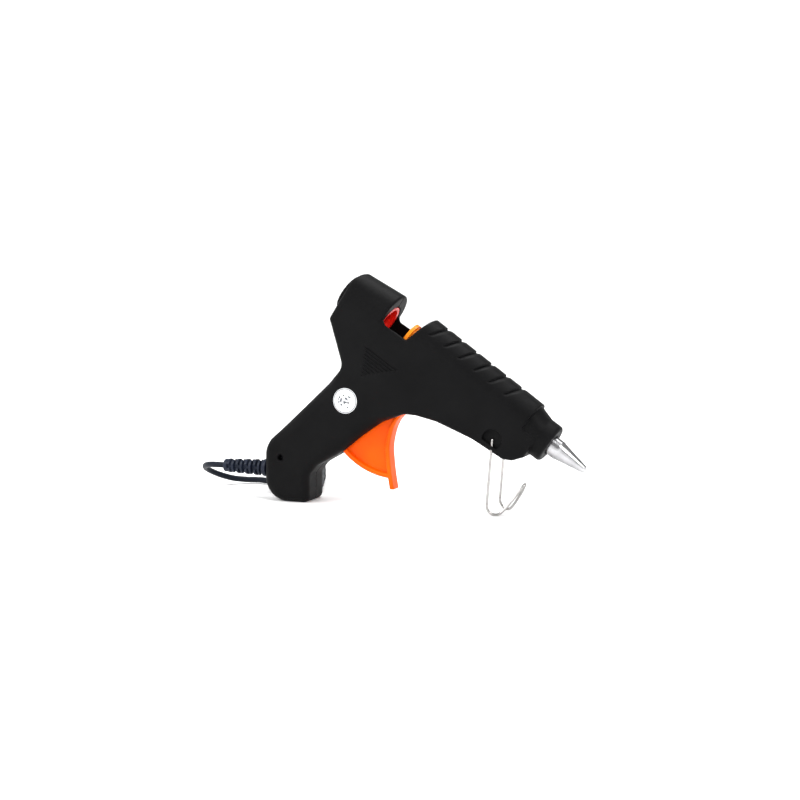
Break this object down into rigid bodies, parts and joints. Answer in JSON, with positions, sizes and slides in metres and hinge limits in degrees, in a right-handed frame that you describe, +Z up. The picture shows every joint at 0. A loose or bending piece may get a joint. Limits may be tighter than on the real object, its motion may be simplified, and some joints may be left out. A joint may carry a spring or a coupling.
{
  "type": "glue gun",
  "caption": "Electric hot melt glue gun with a trigger feed, a fold-back wire stand and a coiled mains cord, standing nose down on its heel and stand.",
  "frame": {"origin": "on the floor, below the middle of the gun (cord left out), on the plane where the housing is split", "axes": "+Z up, +X the way the nozzle points, the housing is split at y = 0; the cord lies behind on the +Y side"},
  "size_m": [0.2792, 0.1162, 0.1508],
  "materials": {
    "shell": "matte, lightly textured",
    "nozzle": "turned and polished",
    "steel": "satin",
    "spring_steel": "drawn wire",
    "chamber": "cast",
    "ceramic": "matte",
    "electrode": "satin",
    "insulation": "polyimide film",
    "silicone": "matte",
    "bush": "satin",
    "carriage": "satin",
    "jaw": "satin",
    "trigger": "satin",
    "wire": "bright drawn wire",
    "boot": "matte",
    "clamp": "matte",
    "screw": "zinc plated",
    "lead": "braided glass fibre",
    "core": "satin",
    "brass": "satin",
    "label": "satin print",
    "cord": "satin",
    "tie": "satin",
    "plug": "satin",
    "pin_metal": "nickel plated"
  },
  "bodies": {
    "housing": {"left_shell": "shell", "right_shell": "shell", "nozzle": "nozzle", "check_spring": "spring_steel", "heating_chamber": "chamber", "heater_plate": "ceramic", "heater_electrodes": "electrode", "heater_insulation": "insulation", "heater_clip": "steel", "silicone_sleeve": "silicone", "sleeve_clamp": "steel", "inlet_bush": "bush", "trigger_pin": "steel", "return_spring": "spring_steel", "strain_relief": "boot", "cord_clamp": "clamp", "clamp_screws": "screw", "housing_screws": "screw", "handle_screw": "screw", "heater_leads": "lead", "cord_cores": "core", "crimp_sleeves": "brass", "side_label": "label", "power_cord": "cord", "cord_hank": "cord", "cord_tie": "tie", "plug_tail": "cord", "plug_body": "plug", "plug_pins": "pin_metal"},
    "trigger": {"trigger": "trigger"},
    "carriage": {"feed_carriage": "carriage", "jaw_pin": "steel"},
    "jaw": {"grip_jaw": "jaw"},
    "stand": {"wire_stand": "wire"},
    "ball": {"check_ball": "steel"}
  },
  "joints": [
    {"name": "trigger_pull", "type": "hinge", "parent": "housing", "child": "trigger", "pos_m": [-0.01633, 0, 0.06991], "axis": [0, 1, 0], "range_deg": [0, 26], "stiffness_Nm_per_rad": 0.5, "springref_deg": -20.05, "deforming": ["return_spring"]},
    {"name": "carriage_slide", "type": "slide", "parent": "housing", "child": "carriage", "axis": [0.829, 0, -0.5592], "range_m": [0, 0.01146]},
    {"name": "jaw_grip", "type": "hinge", "parent": "carriage", "child": "jaw", "pos_m": [-0.0263, 0, 0.10619], "axis": [0, 1, 0], "range_deg": [0, 12.01]},
    {"name": "stand_fold", "type": "hinge", "parent": "housing", "child": "stand", "pos_m": [0.05262, 0, 0.0491], "axis": [0, 1, 0], "range_deg": [0, 80]},
    {"name": "valve_lift", "type": "slide", "parent": "housing", "child": "ball", "axis": [0.829, 0, -0.5592], "range_m": [0, 0.0012], "stiffness_N_per_m": 20, "deforming": ["check_spring"]}
  ],
  "couplings": [
    {"joint": "carriage_slide", "follows": "trigger_pull", "m_per_rad": 0.025235},
    {"joint": "jaw_grip", "follows": "trigger_pull", "ratio": 0.46154}
  ]
}
